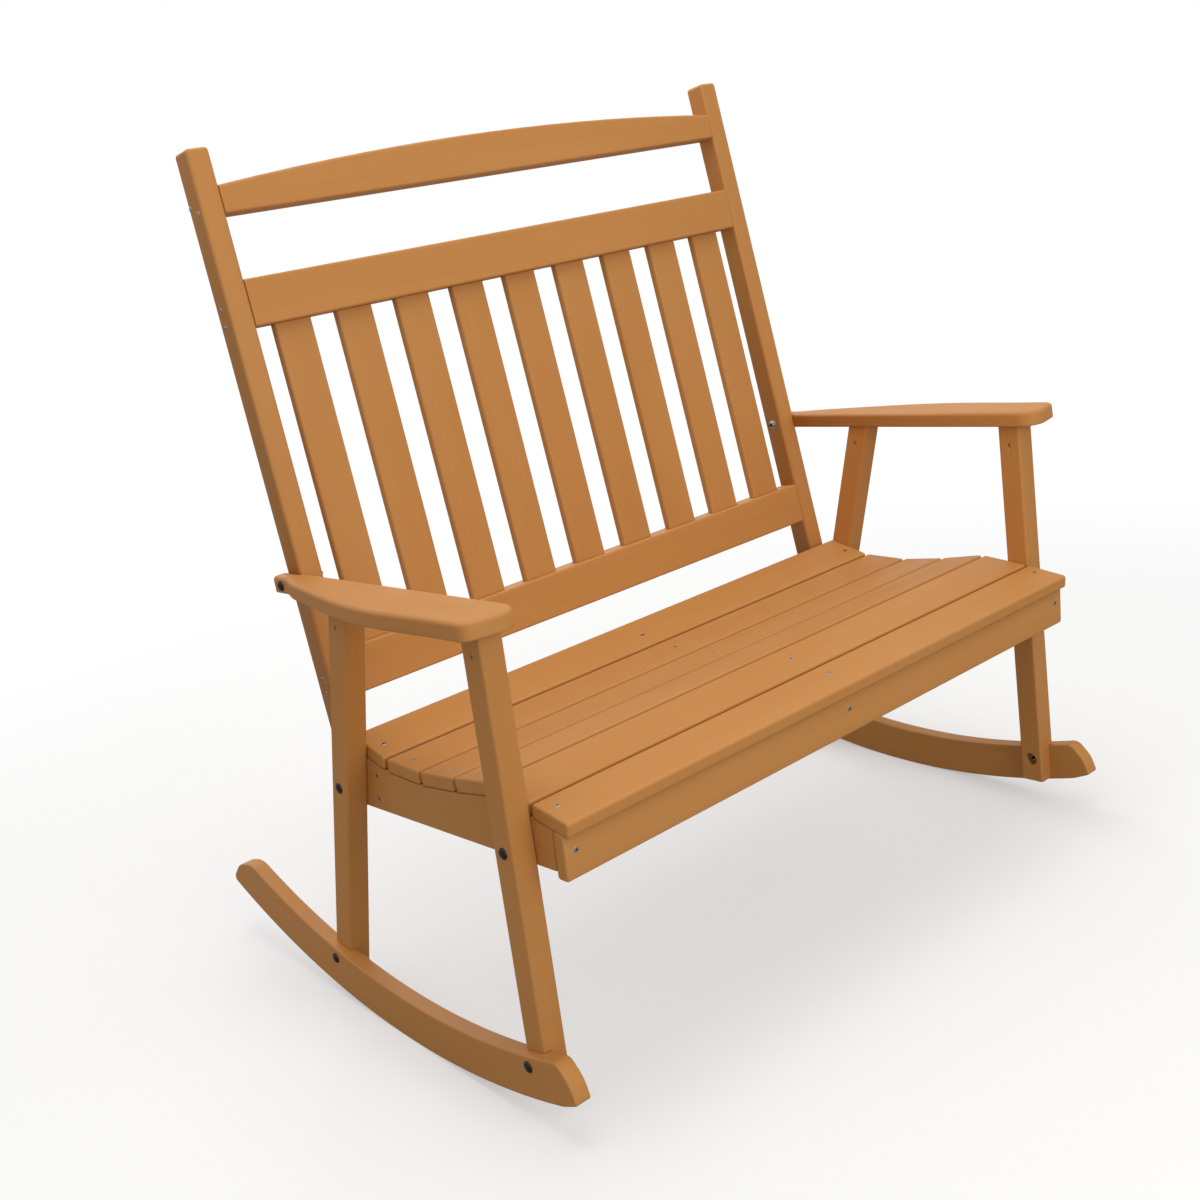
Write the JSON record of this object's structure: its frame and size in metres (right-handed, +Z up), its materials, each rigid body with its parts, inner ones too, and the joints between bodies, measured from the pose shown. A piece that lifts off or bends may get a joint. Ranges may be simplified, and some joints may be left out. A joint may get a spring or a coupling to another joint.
{
  "type": "rocking bench",
  "caption": "Two-seat slatted garden bench on curved rockers, with a tall leaning back, dished slatted seat, arched top rail and broad paddle arms",
  "frame": {"origin": "on the floor under the middle of the overall size", "axes": "+Z up, the bench faces -Y, +X to the right of someone looking at its front"},
  "size_m": [1.2792, 0.9626, 1.3593],
  "materials": {
    "board": "satin",
    "metal": "satin"
  },
  "bodies": {
    "root": {"apron": "board", "arm_bolt_left": "metal", "arm_bolt_right": "metal", "arm_left": "board", "arm_nut_left": "metal", "arm_nut_right": "metal", "arm_right": "board", "back_rail_bottom": "board", "back_rail_middle": "board", "back_rail_top": "board", "back_slat_1": "board", "back_slat_2": "board", "back_slat_3": "board", "back_slat_4": "board", "back_slat_5": "board", "back_slat_6": "board", "back_slat_7": "board", "back_slat_8": "board", "back_slat_9": "board", "centre_support": "board", "leg_bolt_front_left": "metal", "leg_bolt_front_right": "metal", "leg_bolt_rear_left": "metal", "leg_bolt_rear_right": "metal", "leg_front_left": "board", "leg_front_right": "board", "leg_nut_front_left": "metal", "leg_nut_front_right": "metal", "leg_nut_rear_left": "metal", "leg_nut_rear_right": "metal", "leg_rear_left": "board", "leg_rear_right": "board", "post_left": "board", "post_right": "board", "rocker_bolt_front_left": "metal", "rocker_bolt_front_right": "metal", "rocker_bolt_rear_left": "metal", "rocker_bolt_rear_right": "metal", "rocker_left": "board", "rocker_nut_front_left": "metal", "rocker_nut_front_right": "metal", "rocker_nut_rear_left": "metal", "rocker_nut_rear_right": "metal", "rocker_right": "board", "seat_slat_1": "board", "seat_slat_2": "board", "seat_slat_3": "board", "seat_slat_4": "board", "seat_slat_5": "board", "seat_slat_6": "board", "side_rail_left": "board", "side_rail_right": "board", "stretcher": "board"}
  },
  "joints": []
}
